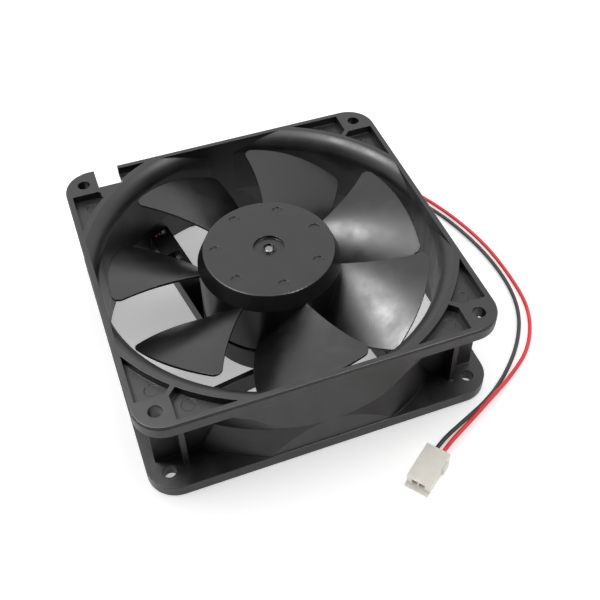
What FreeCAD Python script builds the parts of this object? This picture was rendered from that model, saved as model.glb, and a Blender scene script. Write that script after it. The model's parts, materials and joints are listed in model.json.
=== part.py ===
import FreeCAD, Part
import math
import os

# Case fan, 119 x 119 x 38 mm. Millimetres, +Z up.
# The origin is the centre of the outlet face. Air enters at the top and leaves at the bottom,
# and the rotor turns anticlockwise as seen from above.

Vector = FreeCAD.Vector
UP = Vector(0, 0, 1)
CENTRE = Vector(0, 0, 0)

# ---- frame ----
FRAME_SIDE = 119.0
FRAME_DEPTH = 38.0
FLANGE_THICK = 4.6
FRAME_CORNER_RADIUS = 10.0
HOLE_INSET = 7.0            # hole centre to the frame's side
HOLE_DIAMETER = 4.4
RIM_WALL = 2.0              # thin rim along the middle of each side
LIP_STEP = 0.15             # mould step round the top edge
LIP_HEIGHT = 0.8
EDGE_ROUND = 0.4
SIDE_WALL_INSET = 0.4       # side wall between the flanges, set in from the flange edge
FLAT_TRIM = 0.2             # how far the inner flats cut into the throat
FLARE_RISE = 4.6            # inlet flare, outwards from the throat
FLARE_DEPTH = 6.0
OUTLET_RISE = 2.0           # outlet flare, outwards from the throat
OUTLET_DEPTH = 14.0
RING_LIP = 2.0              # flat top of the ring outside the flare
WAIST_HEIGHT = 15.0         # narrowest place of the outer wall
WAIST_WALL = 1.4
SHOULDER_HEIGHT = 28.5      # outer wall reaches the full ring here
SHOULDER_BEND = 2.1         # outward step of the wall at the bend
SHOULDER_BEND_HEIGHT = 18.6
POCKET_DEPTH = 3.0
EJECTOR_PLACE = (42.6, 51.6)
EJECTOR_RADIUS = 2.2
EJECTOR_DEPTH = 0.25
PAD_EDGE = 5.2              # hole centre to the inner edge of the screw pad
DIAGONAL_RIB = 1.6
BAY_RIB = 1.8
BAY_RIB_INSET = 5.9         # hole centre to the middle of the rib beside it
FRONT_RIB_INSET = 7.2       # rib end to the frame's side, ribs that point forwards or backwards
SIDE_RIB_INSET = 3.5        # rib end to the frame's side, ribs that point sideways
NOTCH_WIDTH = 8.6
NOTCH_DEPTH = 10.0
NOTCH_LAND = 5.5            # solid flange left between the notch and the ring
NOTCH_OFFSET = 9.2          # hole centre to the middle of the notch

# ---- motor base and its struts ----
BASE_RADIUS = 25.0
BASE_WALL = 1.6
BASE_BOTTOM = 0.8
BASE_FLOOR = 1.8
BASE_HEIGHT = 10.7
STRUT_HEIGHT = 8.0
STRUT_THICK = 2.0
STRUT_COUNT = 4
STRUT_HEADING = 99.2        # direction of the lead channel, degrees
CHANNEL_WIDTH = 5.0
CHANNEL_WALL = 1.6
CHANNEL_COVER = 1.2
CHANNEL_WINDOW = (37.5, 42.0)    # where the cover is left open, from the centre
CHANNEL_HOOKS = (27.0, 47.0)
HOOK_THICK = 0.9
HOOK_LENGTH = 2.4
HOOK_REACH = 3.4
LEAD_PORT_BOTTOM = 0.3      # above the lower flange
LEAD_PORT_HEIGHT = 2.6
LEAD_PORT_LEDGE = 0.6        # wall left beside the port, inside the channel's width
COVER_END = 53.0
TUBE_BOSS_WALL = 2.0
TUBE_BOSS_HEIGHT = 5.0

# ---- impeller ----
BLADE_COUNT = 7
TIP_CLEARANCE = 3.0
HUB_RADIUS = 24.7
HUB_TOP = 37.0
HUB_ROUND = 0.5
HUB_BEVEL = (2.3, 5.4)      # width and height of the cone round the hub's face
CUP_BEVEL = (1.8, 4.4)      # the same for the cup inside and for the yoke
HUB_FACE = 2.0
HUB_WALL = 1.6
SKIRT_GAP = 1.0             # between the hub's skirt and the motor base
FIRST_BLADE = 133.4         # heading of the first blade's leading tip, degrees
LEAD_TIP_DROP = 2.2         # leading tip below the hub face
LEAD_ROOT_DROP = 5.9        # leading root below the hub face
LEAD_SWEEP = 9.7            # sweep of the leading edge, degrees
LEAD_SWEEP_BACK = 3.3
TIP_CHORD = 39.7            # degrees of turn that one blade covers at its tip
ROOT_CHORD = 42.0
TIP_SLOPE = (0.072, 0.0050)   # drop per degree, and per degree squared
ROOT_SLOPE = (0.250, 0.0040)
BLADE_THICK_ROOT = 1.7
BLADE_THICK_TIP = 1.2
BLADE_CORNER = 2.6
FACE_DIMPLE_COUNT = 7
FACE_DIMPLE_RADIUS = 1.95
FACE_DIMPLE_CIRCLE = 18.1
FACE_DIMPLE_HEADING = 10.1
FACE_DIMPLE_DEPTH = 0.35
HUB_RECESS_RADIUS = 5.4
HUB_RECESS_DEPTH = 1.0
HUB_NUB_RADIUS = 2.35
HUB_NUB_HEIGHT = 0.6
HUB_BOSS_RADIUS = 5.6
HUB_BOSS_HEIGHT = 4.6

# ---- motor ----
SHAFT_RADIUS = 1.5
SHAFT_BOTTOM = 4.2
SHAFT_SUNK = 0.45            # below the nub that surrounds its upper end
SHAFT_ROUND = 0.4
BEARING_OUTER = 4.0
BEARING_WIDTH = 4.0
BEARING_INNER_RING = 2.2    # outer radius of the inner ring
BEARING_OUTER_RING = 3.3    # inner radius of the outer ring
BALL_RADIUS = 0.62
BALL_COUNT = 7
BALL_CLEARANCE = 0.05
SHIELD_THICK = 0.2
LOWER_BEARING_BOTTOM = 6.4
UPPER_BEARING_BOTTOM = 25.4
TUBE_OUTER = 6.0
TUBE_SHOULDER = 0.5
TUBE_TOP_LIP = 0.4
CORE_BOTTOM = 16.5
CORE_HEIGHT = 11.5
CORE_HUB = 9.0
CORE_POLES = 4
POLE_WIDTH = 6.0
POLE_TIP_THICK = 1.8
POLE_SLOT = 3.4
AIR_GAP = 0.6
MAGNET_THICK = 2.4
MAGNET_INSET = 1.2          # magnet above the yoke's lower edge
YOKE_WALL = 0.8
INSULATOR_THICK = 0.9
COIL_THICK = 2.6
COIL_REACH = 1.4            # coil height beyond the insulator
BOARD_BOTTOM = 9.2
BOARD_THICK = 1.2
BOARD_CLEARANCE = 0.5
SPRING_THICK = 0.25
SPRING_CLEARANCE = 0.12
SMALL_GAP = 0.05
PRESS_GAP = 0.02

# ---- leads and connector ----
LEAD_DIAMETER = 1.45
LEAD_SPACING = 0.1           # between the two leads in the channel
CONNECTOR_LENGTH = 13.8
CONNECTOR_WIDTH = 8.5
CONNECTOR_HEIGHT = 5.0
CONNECTOR_PITCH = 2.5
CONNECTOR_WALL = 0.9
CONNECTOR_SHELF = 1.5
LATCH_PLACE = (2.2, 6.0)     # along the connector's side
LATCH_REACH = 0.8
TERMINAL_SPACE = 1.0
CONNECTOR_PLACE = (30.6, -75.7)
CONNECTOR_HEADING = 216.8
LEAD_ENTRY_DEPTH = 2.6

# ---- worked out from the values above ----
HALF_SIDE = FRAME_SIDE / 2
INNER_FLAT = HALF_SIDE - RIM_WALL
WALL_FLAT = HALF_SIDE - SIDE_WALL_INSET
THROAT_RADIUS = INNER_FLAT + FLAT_TRIM
FLARE_RADIUS = THROAT_RADIUS + FLARE_RISE
RING_RADIUS = FLARE_RADIUS + RING_LIP
HOLE_PLACE = HALF_SIDE - HOLE_INSET
TOP_FLANGE = FRAME_DEPTH - FLANGE_THICK
TIP_RADIUS = THROAT_RADIUS - TIP_CLEARANCE
SKIRT_BOTTOM = BASE_HEIGHT + SKIRT_GAP
HUB_INNER = HUB_RADIUS - HUB_WALL
BASE_TOP_FLOOR = BASE_BOTTOM + BASE_FLOOR
YOKE_RADIUS = HUB_INNER - PRESS_GAP
YOKE_TOP = HUB_TOP - HUB_FACE - SMALL_GAP
YOKE_BOTTOM = SKIRT_BOTTOM + SMALL_GAP
MAGNET_OUTER = YOKE_RADIUS - YOKE_WALL - PRESS_GAP
MAGNET_INNER = MAGNET_OUTER - MAGNET_THICK
CORE_RADIUS = MAGNET_INNER - AIR_GAP
CORE_TOP = CORE_BOTTOM + CORE_HEIGHT
TUBE_TOP = UPPER_BEARING_BOTTOM + BEARING_WIDTH + TUBE_TOP_LIP
SHAFT_TOP = HUB_TOP - HUB_RECESS_DEPTH + HUB_NUB_HEIGHT - SHAFT_SUNK
BALL_CIRCLE = (BEARING_INNER_RING + BEARING_OUTER_RING) / 2
BUSHING_RADIUS = HUB_BOSS_RADIUS - 2.0
BUSHING_BOTTOM = HUB_TOP - HUB_FACE - HUB_BOSS_HEIGHT
BOARD_RADIUS = BASE_RADIUS - BASE_WALL - BOARD_CLEARANCE
LEAD_PORT_LEVEL = FLANGE_THICK + LEAD_PORT_BOTTOM + SMALL_GAP + LEAD_DIAMETER / 2


def cylinder(radius, bottom, top, x=0.0, y=0.0):
    return Part.makeCylinder(radius, top - bottom, Vector(x, y, bottom), UP)


def ring(outer, inner, bottom, top):
    return cylinder(outer, bottom, top).cut(cylinder(inner, bottom - 1, top + 1))


def box(x0, x1, y0, y1, z0, z1):
    return Part.makeBox(x1 - x0, y1 - y0, z1 - z0, Vector(x0, y0, z0))


def turned(shape, degrees):
    copy = shape.copy()
    copy.rotate(CENTRE, UP, degrees)
    return copy


def around(shape, count, start=0.0):
    return [turned(shape, start + 360.0 * index / count) for index in range(count)]


def fused(shapes):
    return shapes[0].multiFuse(list(shapes[1:])).removeSplitter()


def revolved(points):
    """Solid of revolution about Z of a closed outline of (radius, height) points."""
    corners = [Vector(radius, 0, height) for radius, height in points]
    outline = Part.makePolygon(corners + [corners[0]])
    return Part.Face(outline).revolve(CENTRE, UP, 360)


def bevelled(radius, bottom, top, bevel):
    """Cylinder whose upper edge is cut to a cone of the given width and height."""
    return revolved([(0, bottom), (radius, bottom), (radius, top - bevel[1]), (radius - bevel[0], top),
                     (0, top)])


def rounded_square(half, radius, bottom, top):
    plate = box(-half, half, -half, half, bottom, top)
    uprights = [edge for edge in plate.Edges if abs(edge.tangentAt(edge.FirstParameter).z) > 0.9]
    return plate.makeFillet(radius, uprights)


def soften_outline(plate, height, radius):
    """Round the outline edges of a plate that lie at one height."""
    level = [edge for edge in plate.Edges
             if abs(edge.BoundBox.ZMin - height) < 1e-4 and abs(edge.BoundBox.ZMax - height) < 1e-4]
    return plate.makeFillet(radius, level)


# ---- frame ----

def duct_space():
    """The air passage: outlet flare, throat and inlet flare, trimmed by the inner flats."""
    inlet_start = FRAME_DEPTH - FLARE_DEPTH
    bend = Part.Arc(Vector(THROAT_RADIUS, 0, inlet_start),
                    Vector(THROAT_RADIUS + 0.35 * FLARE_RISE, 0, inlet_start + 0.62 * FLARE_DEPTH),
                    Vector(FLARE_RADIUS, 0, FRAME_DEPTH)).toShape()
    corners = [Vector(FLARE_RADIUS, 0, FRAME_DEPTH), Vector(FLARE_RADIUS, 0, FRAME_DEPTH + 2),
               Vector(0, 0, FRAME_DEPTH + 2), Vector(0, 0, -2),
               Vector(THROAT_RADIUS + OUTLET_RISE, 0, -2),
               Vector(THROAT_RADIUS + OUTLET_RISE, 0, 0),
               Vector(THROAT_RADIUS, 0, OUTLET_DEPTH),
               Vector(THROAT_RADIUS, 0, inlet_start)]
    outline = Part.Wire([bend] + Part.makePolygon(corners).Edges)
    passage = Part.Face(outline).revolve(CENTRE, UP, 360)
    flats = box(-INNER_FLAT, INNER_FLAT, -INNER_FLAT, INNER_FLAT, -3, FRAME_DEPTH + 3)
    return passage.common(flats)


def duct_wall():
    """Outer side of the duct between the flanges, with its waist and its four flat sides."""
    waist = THROAT_RADIUS + WAIST_WALL
    wall = revolved([(0, 0), (RING_RADIUS, 0), (waist, WAIST_HEIGHT),
                     (waist + SHOULDER_BEND, SHOULDER_BEND_HEIGHT), (RING_RADIUS, SHOULDER_HEIGHT),
                     (RING_RADIUS, FRAME_DEPTH - 0.01), (0, FRAME_DEPTH - 0.01)])
    return wall.common(box(-WALL_FLAT, WALL_FLAT, -WALL_FLAT, WALL_FLAT, 0, FRAME_DEPTH))


def flanges():
    lower = rounded_square(HALF_SIDE, FRAME_CORNER_RADIUS, 0, FLANGE_THICK)
    lower = soften_outline(lower, 0, EDGE_ROUND)
    upper = rounded_square(HALF_SIDE, FRAME_CORNER_RADIUS, TOP_FLANGE, FRAME_DEPTH - LIP_HEIGHT)
    lip = rounded_square(HALF_SIDE - LIP_STEP, FRAME_CORNER_RADIUS - LIP_STEP,
                         FRAME_DEPTH - LIP_HEIGHT, FRAME_DEPTH)
    return [lower, upper, soften_outline(lip, FRAME_DEPTH, EDGE_ROUND)]


def corner_pockets(bottom, top):
    """Two shallow pockets in each corner, split by a diagonal rib that runs from pad to ring."""
    pad = HOLE_PLACE - PAD_EDGE
    pockets = []
    for corner in range(4):
        area = box(0, INNER_FLAT, 0, INNER_FLAT, bottom, top)
        area = area.cut(cylinder(RING_RADIUS, bottom - 1, top + 1))
        area = area.cut(box(pad, HALF_SIDE, pad, HALF_SIDE, bottom - 1, top + 1))
        rib = box(0, FRAME_SIDE, -DIAGONAL_RIB / 2, DIAGONAL_RIB / 2, bottom - 1, top + 1)
        area = area.cut(turned(rib, 45))
        pockets.append(turned(area, 90 * corner))
    return pockets


def bay_ribs():
    """Two upright ribs beside each screw hole, in the open corners between the flanges."""
    ribs = []
    place = HOLE_PLACE - BAY_RIB_INSET
    half = BAY_RIB / 2
    inner = 0.6 * HALF_SIDE
    for x_side in (-1, 1):
        for y_side in (-1, 1):
            along_y = sorted((y_side * inner, y_side * (HALF_SIDE - FRONT_RIB_INSET)))
            along_x = sorted((x_side * inner, x_side * (HALF_SIDE - SIDE_RIB_INSET)))
            ribs.append(box(x_side * place - half, x_side * place + half, along_y[0], along_y[1],
                            FLANGE_THICK - 0.5, TOP_FLANGE + 0.5))
            ribs.append(box(along_x[0], along_x[1], y_side * place - half, y_side * place + half,
                            FLANGE_THICK - 0.5, TOP_FLANGE + 0.5))
    return ribs


def along_strut(start, end, offset_in, offset_out, bottom, top, heading):
    """Bar beside the line that leaves the centre at the heading; offsets are to its left."""
    return turned(box(start, end, offset_in, offset_out, bottom, top), heading)


def motor_base():
    cup = cylinder(BASE_RADIUS, BASE_BOTTOM, BASE_HEIGHT)
    cup = soften_outline(cup, BASE_HEIGHT, EDGE_ROUND)
    hollow = cylinder(BASE_RADIUS - BASE_WALL, BASE_TOP_FLOOR, BASE_HEIGHT + 1)
    boss = ring(TUBE_OUTER + TUBE_BOSS_WALL, TUBE_OUTER, BASE_TOP_FLOOR - 0.2,
                BASE_TOP_FLOOR + TUBE_BOSS_HEIGHT)
    return cup.cut(hollow).fuse(boss)


def channel_edges():
    """Left-hand offsets of the lead channel: inner wall, channel, outer wall."""
    outer = BASE_RADIUS
    channel_out = outer - CHANNEL_WALL
    channel_in = channel_out - CHANNEL_WIDTH
    return channel_in - CHANNEL_WALL, channel_in, channel_out, outer


def struts():
    """Three plain struts, and one that is a channel with a closed top, open towards the outlet."""
    reach = THROAT_RADIUS + OUTLET_RISE + 1.0
    limit = cylinder(reach, 0, STRUT_HEIGHT)
    bars = []
    for index in range(1, STRUT_COUNT):
        heading = STRUT_HEADING + 360.0 * index / STRUT_COUNT
        bars.append(along_strut(0, reach, BASE_RADIUS - STRUT_THICK, BASE_RADIUS,
                                0, STRUT_HEIGHT, heading))
    wall_in, channel_in, channel_out, wall_out = channel_edges()
    start = math.sqrt(BASE_RADIUS ** 2 - channel_in ** 2) - 2.0
    bars.append(along_strut(0, reach, channel_out, wall_out, 0, STRUT_HEIGHT, STRUT_HEADING))
    bars.append(along_strut(start, reach, wall_in, channel_in, 0, STRUT_HEIGHT, STRUT_HEADING))
    window_start, window_end = CHANNEL_WINDOW
    for stretch in ((6.0, window_start), (window_end, COVER_END)):
        bars.append(along_strut(stretch[0], stretch[1], wall_in, wall_out,
                                STRUT_HEIGHT - CHANNEL_COVER, STRUT_HEIGHT, STRUT_HEADING))
    for place in CHANNEL_HOOKS:
        bars.append(along_strut(place, place + HOOK_LENGTH, channel_in - 0.2, channel_in + HOOK_REACH,
                                0, HOOK_THICK, STRUT_HEADING))
    outside_base = cylinder(BASE_RADIUS - 0.5 * BASE_WALL, -1, STRUT_HEIGHT + 1)
    return [bar.common(limit).cut(outside_base) for bar in bars]


def lead_openings():
    """Where the leads pass from the base into the channel, and out through the duct wall."""
    wall_in, channel_in, channel_out, wall_out = channel_edges()
    port_bottom = FLANGE_THICK + LEAD_PORT_BOTTOM
    inner = along_strut(2, math.sqrt(BASE_RADIUS ** 2 - channel_in ** 2) + 1, channel_in, channel_out,
                        BASE_TOP_FLOOR, STRUT_HEIGHT - CHANNEL_COVER, STRUT_HEADING)
    outer = along_strut(COVER_END + 1, FRAME_SIDE, wall_in + LEAD_PORT_LEDGE, wall_out - LEAD_PORT_LEDGE,
                        port_bottom, port_bottom + LEAD_PORT_HEIGHT, STRUT_HEADING)
    return [inner, outer]


def ejector_marks():
    """Shallow round marks in the floors of the upper pockets, one in each."""
    marks = []
    floor = FRAME_DEPTH - POCKET_DEPTH
    for corner in range(4):
        for x, y in (EJECTOR_PLACE, EJECTOR_PLACE[::-1]):
            mark = cylinder(EJECTOR_RADIUS, floor - EJECTOR_DEPTH, floor + 1, x, y)
            marks.append(turned(mark, 90 * corner))
    return marks


def notch_box(inner, outer, top):
    """Box as wide as the notch in the upper flange."""
    middle = -HOLE_PLACE + NOTCH_OFFSET
    return box(middle - NOTCH_WIDTH / 2, middle + NOTCH_WIDTH / 2, inner, outer, TOP_FLANGE, top)


def notch_land():
    """Full-height flange between the notch and the ring."""
    inner = HALF_SIDE - NOTCH_DEPTH
    land = notch_box(inner - NOTCH_LAND, inner + 0.5, FRAME_DEPTH)
    return land.cut(cylinder(RING_RADIUS - 0.4, 0, FRAME_DEPTH + 1))


def frame_housing():
    body = fused([duct_wall()] + flanges() + bay_ribs())
    cuts = [duct_space()]
    cuts += corner_pockets(FRAME_DEPTH - POCKET_DEPTH, FRAME_DEPTH + 1)
    cuts += corner_pockets(-1, POCKET_DEPTH)
    cuts += ejector_marks()
    for x_side in (-1, 1):
        for y_side in (-1, 1):
            cuts.append(cylinder(HOLE_DIAMETER / 2, -1, FRAME_DEPTH + 1,
                                 x_side * HOLE_PLACE, y_side * HOLE_PLACE))
    for cut in cuts:
        body = body.cut(cut)
    body = fused([body, notch_land(), motor_base()] + struts())
    for opening in lead_openings() + [notch_box(HALF_SIDE - NOTCH_DEPTH, HALF_SIDE + 1, FRAME_DEPTH + 1)]:
        body = body.cut(opening)
    return body


# ---- impeller ----

def blade_heights(part):
    """Leading height, leading heading and slopes at a part of the blade, 0 at tip and 1 at root."""
    drop = LEAD_TIP_DROP + (LEAD_ROOT_DROP - LEAD_TIP_DROP) * part
    sweep = LEAD_SWEEP * part - LEAD_SWEEP_BACK * part ** 2
    first = TIP_SLOPE[0] + (ROOT_SLOPE[0] - TIP_SLOPE[0]) * part
    second = TIP_SLOPE[1] + (ROOT_SLOPE[1] - TIP_SLOPE[1]) * part
    chord = TIP_CHORD + (ROOT_CHORD - TIP_CHORD) * part
    return HUB_TOP - drop, sweep, first, second, chord


def blade_radius(part):
    return TIP_RADIUS - (TIP_RADIUS - HUB_RADIUS) * part


def blade_row(part, side):
    """Points along one face of the blade at one radius, a little longer than the blade itself."""
    height, sweep, first, second, chord = blade_heights(part)
    radius = blade_radius(part)
    thick = BLADE_THICK_TIP + (BLADE_THICK_ROOT - BLADE_THICK_TIP) * part
    over = 3.0
    steps = 10
    row = []
    for index in range(steps + 1):
        behind = -over + (chord + 2 * over) * index / steps
        share = index / steps
        heading = math.radians(FIRST_BLADE - sweep - behind)
        middle = height - first * behind - second * behind ** 2
        half = thick * (0.30 + 0.80 * share * (1 - share))
        row.append(Vector(radius * math.cos(heading), radius * math.sin(heading),
                          middle + side * half))
    return row


def blade_face(side):
    """Upper (1) or lower (-1) face of a blade as one smooth surface."""
    surface = Part.BSplineSurface()
    surface.interpolate([blade_row(part, side) for part in (1.08, 0.86, 0.64, 0.42, 0.2, -0.04)])
    return surface.toShape()


def blade_planform():
    """Upright prism with the blade's outline as seen from above, with rounded tip corners."""
    parts = [0.0, 0.2, 0.4, 0.6, 0.8, 1.0, 1.04]
    leading = []
    trailing = []
    for part in parts:
        _, sweep, _, _, chord = blade_heights(part)
        radius = blade_radius(part)
        front = math.radians(FIRST_BLADE - sweep)
        back = math.radians(FIRST_BLADE - sweep - chord)
        leading.append(Vector(radius * math.cos(front), radius * math.sin(front), 0))
        trailing.append(Vector(radius * math.cos(back), radius * math.sin(back), 0))
    front_curve = Part.BSplineCurve()
    front_curve.interpolate(leading)
    back_curve = Part.BSplineCurve()
    back_curve.interpolate(trailing[::-1])
    middle = math.radians(FIRST_BLADE - TIP_CHORD / 2)
    tip = Part.Arc(leading[0], Vector(TIP_RADIUS * math.cos(middle), TIP_RADIUS * math.sin(middle), 0),
                   trailing[0]).toShape()
    root = Part.makeLine(trailing[-1], leading[-1])
    outline = Part.Wire([front_curve.toShape(), root, back_curve.toShape(), tip])
    prism = Part.Face(outline).extrude(Vector(0, 0, FRAME_DEPTH))
    corners = [edge for edge in prism.Edges
               if abs(edge.tangentAt(edge.FirstParameter).z) > 0.9
               and math.hypot(edge.CenterOfMass.x, edge.CenterOfMass.y) > TIP_RADIUS - 0.1]
    return prism.makeFillet(BLADE_CORNER, corners).Solids[0]


def blade():
    """Twisted sheet between its two faces, cut to the planform."""
    upper = blade_face(1)
    lower = blade_face(-1)
    sides = []
    for edge in upper.Edges:
        partner = min(lower.Edges, key=lambda other: (other.CenterOfMass - edge.CenterOfMass).Length)
        sides.append(Part.makeRuledSurface(edge, partner))
    shell = Part.Shell([upper, lower] + sides)
    shell.sewShape()
    return blade_planform().common(Part.Solid(shell)).Solids[0]


def hub_shell():
    cup = bevelled(HUB_RADIUS, SKIRT_BOTTOM, HUB_TOP, HUB_BEVEL)
    cup = soften_outline(cup, HUB_TOP, HUB_ROUND)
    cup = cup.cut(bevelled(HUB_INNER, SKIRT_BOTTOM - 1, HUB_TOP - HUB_FACE, CUP_BEVEL))
    cup = cup.cut(cylinder(HUB_RECESS_RADIUS, HUB_TOP - HUB_RECESS_DEPTH, HUB_TOP + 1))
    boss = cylinder(HUB_BOSS_RADIUS, HUB_TOP - HUB_FACE - HUB_BOSS_HEIGHT, HUB_TOP - HUB_FACE + 0.2)
    nub = cylinder(HUB_NUB_RADIUS, HUB_TOP - HUB_RECESS_DEPTH - 0.2,
                   HUB_TOP - HUB_RECESS_DEPTH + HUB_NUB_HEIGHT)
    cup = fused([cup, boss, nub])
    cup = cup.cut(cylinder(SHAFT_RADIUS, 0, HUB_TOP + 1))
    cup = cup.cut(cylinder(SHAFT_RADIUS + SHAFT_ROUND, SHAFT_TOP - SHAFT_ROUND, HUB_TOP + 1))
    cup = cup.cut(cylinder(BUSHING_RADIUS, 0, HUB_TOP - HUB_FACE))
    dimple = cylinder(FACE_DIMPLE_RADIUS, HUB_TOP - FACE_DIMPLE_DEPTH, HUB_TOP + 1, FACE_DIMPLE_CIRCLE)
    for cut in around(dimple, FACE_DIMPLE_COUNT, FACE_DIMPLE_HEADING):
        cup = cup.cut(cut)
    return cup


def impeller():
    one = blade()
    inside = cylinder(HUB_INNER + 0.5 * HUB_WALL, 0, FRAME_DEPTH)
    blades = [copy.cut(inside) for copy in around(one, BLADE_COUNT)]
    return hub_shell().multiFuse(blades)


def rotor_yoke():
    cup = bevelled(YOKE_RADIUS, YOKE_BOTTOM, YOKE_TOP, CUP_BEVEL)
    cup = cup.cut(bevelled(YOKE_RADIUS - YOKE_WALL, YOKE_BOTTOM - 1, YOKE_TOP - YOKE_WALL, CUP_BEVEL))
    return cup.cut(cylinder(HUB_BOSS_RADIUS + SMALL_GAP, 0, FRAME_DEPTH))


def ring_magnet():
    return ring(MAGNET_OUTER, MAGNET_INNER, YOKE_BOTTOM + MAGNET_INSET,
                YOKE_TOP - YOKE_WALL - CUP_BEVEL[1])


# ---- shaft and bearings ----

def groove_height():
    return SHAFT_BOTTOM + 0.8


def shaft():
    pin = soften_outline(cylinder(SHAFT_RADIUS, SHAFT_BOTTOM, SHAFT_TOP), SHAFT_TOP, SHAFT_ROUND)
    groove = ring(SHAFT_RADIUS + 1, SHAFT_RADIUS - 0.4, groove_height(), groove_height() + 0.5)
    return pin.cut(groove)


def shaft_bushing():
    return ring(BUSHING_RADIUS - PRESS_GAP, SHAFT_RADIUS + PRESS_GAP, BUSHING_BOTTOM,
                HUB_TOP - HUB_FACE - SMALL_GAP)


def retaining_ring():
    """Open clip in the shaft's groove."""
    clip = ring(SHAFT_RADIUS + 1.1, SHAFT_RADIUS - 0.4 + PRESS_GAP, groove_height() + PRESS_GAP,
                groove_height() + 0.5 - PRESS_GAP)
    return clip.cut(box(0, 4, -0.9, 0.9, 0, 10))


def thrust_washer():
    return ring(SHAFT_RADIUS + 1.0, SHAFT_RADIUS + SMALL_GAP, groove_height() + 0.5,
                LOWER_BEARING_BOTTOM - SMALL_GAP)


def preload_spring():
    """Coned spring washer between the upper bearing's inner ring and the bushing."""
    bottom = UPPER_BEARING_BOTTOM + BEARING_WIDTH + SMALL_GAP
    top = BUSHING_BOTTOM - SMALL_GAP
    inner = SHAFT_RADIUS + SPRING_CLEARANCE
    outer = BUSHING_RADIUS - SPRING_CLEARANCE
    return revolved([(inner, bottom), (outer, top - SPRING_THICK), (outer, top),
                     (inner, bottom + SPRING_THICK)])


def bearing_tube():
    tube = cylinder(TUBE_OUTER, BASE_TOP_FLOOR, TUBE_TOP)
    seat = BEARING_OUTER + PRESS_GAP
    tube = tube.cut(cylinder(seat, BASE_TOP_FLOOR - 1, LOWER_BEARING_BOTTOM + BEARING_WIDTH))
    tube = tube.cut(cylinder(seat, UPPER_BEARING_BOTTOM, TUBE_TOP + 1))
    return tube.cut(cylinder(BEARING_OUTER - TUBE_SHOULDER, 0, TUBE_TOP + 1))


def race_groove(bottom):
    circle = Part.makeTorus(BALL_CIRCLE, BALL_RADIUS + BALL_CLEARANCE)
    circle.translate(Vector(0, 0, bottom + BEARING_WIDTH / 2))
    return circle


def bearing_outer_ring(bottom):
    body = ring(BEARING_OUTER, BEARING_OUTER_RING, bottom, bottom + BEARING_WIDTH)
    return body.cut(race_groove(bottom))


def bearing_inner_ring(bottom):
    body = ring(BEARING_INNER_RING, SHAFT_RADIUS + PRESS_GAP, bottom, bottom + BEARING_WIDTH)
    return body.cut(race_groove(bottom))


def bearing_shields(bottom):
    inner = BEARING_INNER_RING + 0.1
    outer = BEARING_OUTER_RING
    low = ring(outer, inner, bottom + 0.2, bottom + 0.2 + SHIELD_THICK)
    high = ring(outer, inner, bottom + BEARING_WIDTH - 0.2 - SHIELD_THICK, bottom + BEARING_WIDTH - 0.2)
    return Part.makeCompound([low, high])


def bearing_balls(bottom):
    ball = Part.makeSphere(BALL_RADIUS, Vector(BALL_CIRCLE, 0, bottom + BEARING_WIDTH / 2))
    return Part.makeCompound(around(ball, BALL_COUNT))


def ball_cage(bottom):
    """Thin crown that keeps the balls apart."""
    middle = bottom + BEARING_WIDTH / 2
    crown = ring(BALL_CIRCLE + 0.3, BALL_CIRCLE - 0.3, middle - 0.9, middle + 0.35)
    hole = Part.makeSphere(BALL_RADIUS + BALL_CLEARANCE, Vector(BALL_CIRCLE, 0, middle))
    for gap in around(hole, BALL_COUNT):
        crown = crown.cut(gap)
    mouth = box(BALL_CIRCLE - 1, BALL_CIRCLE + 1, -0.45, 0.45, middle, middle + 2)
    for gap in around(mouth, BALL_COUNT):
        crown = crown.cut(gap)
    return crown


# ---- stator ----

def pole_profile(bottom, top, grow=0.0):
    """Hub, four poles and their curved tips, as one plate; grow widens the pole for insulation."""
    hub = cylinder(CORE_HUB + grow, bottom, top)
    pole = box(0, CORE_RADIUS - POLE_TIP_THICK, -POLE_WIDTH / 2 - grow, POLE_WIDTH / 2 + grow, bottom, top)
    tips = ring(CORE_RADIUS, CORE_RADIUS - POLE_TIP_THICK - grow, bottom, top)
    slot = box(0, CORE_RADIUS + 1, -POLE_SLOT / 2, POLE_SLOT / 2, bottom - 1, top + 1)
    for gap in around(slot, CORE_POLES, 180.0 / CORE_POLES):
        tips = tips.cut(gap)
    body = fused([hub, tips] + around(pole, CORE_POLES))
    return body.cut(cylinder(TUBE_OUTER + SMALL_GAP, bottom - 1, top + 1))


def stator_core():
    return pole_profile(CORE_BOTTOM, CORE_TOP)


def insulator(bottom, top, wall_bottom, wall_top):
    """Plate on one end of the stack, with a low wall round the hub and one at each pole tip."""
    plate = pole_profile(bottom, top, 0.3)
    hub_wall = ring(CORE_HUB + 0.3, CORE_HUB - 0.9, wall_bottom, wall_top)
    tip_outer = CORE_RADIUS - 0.2
    tip_wall = ring(tip_outer, tip_outer - 1.0, wall_bottom, wall_top)
    keep = box(0, CORE_RADIUS, -POLE_WIDTH, POLE_WIDTH, wall_bottom - 1, wall_top + 1)
    tip_walls = [tip_wall.common(copy) for copy in around(keep, CORE_POLES)]
    return fused([plate, hub_wall] + tip_walls)


def coil_radii():
    inner = CORE_HUB + 0.3 + SMALL_GAP
    outer = CORE_RADIUS - POLE_TIP_THICK - 0.3 - SMALL_GAP
    return inner, outer


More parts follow.
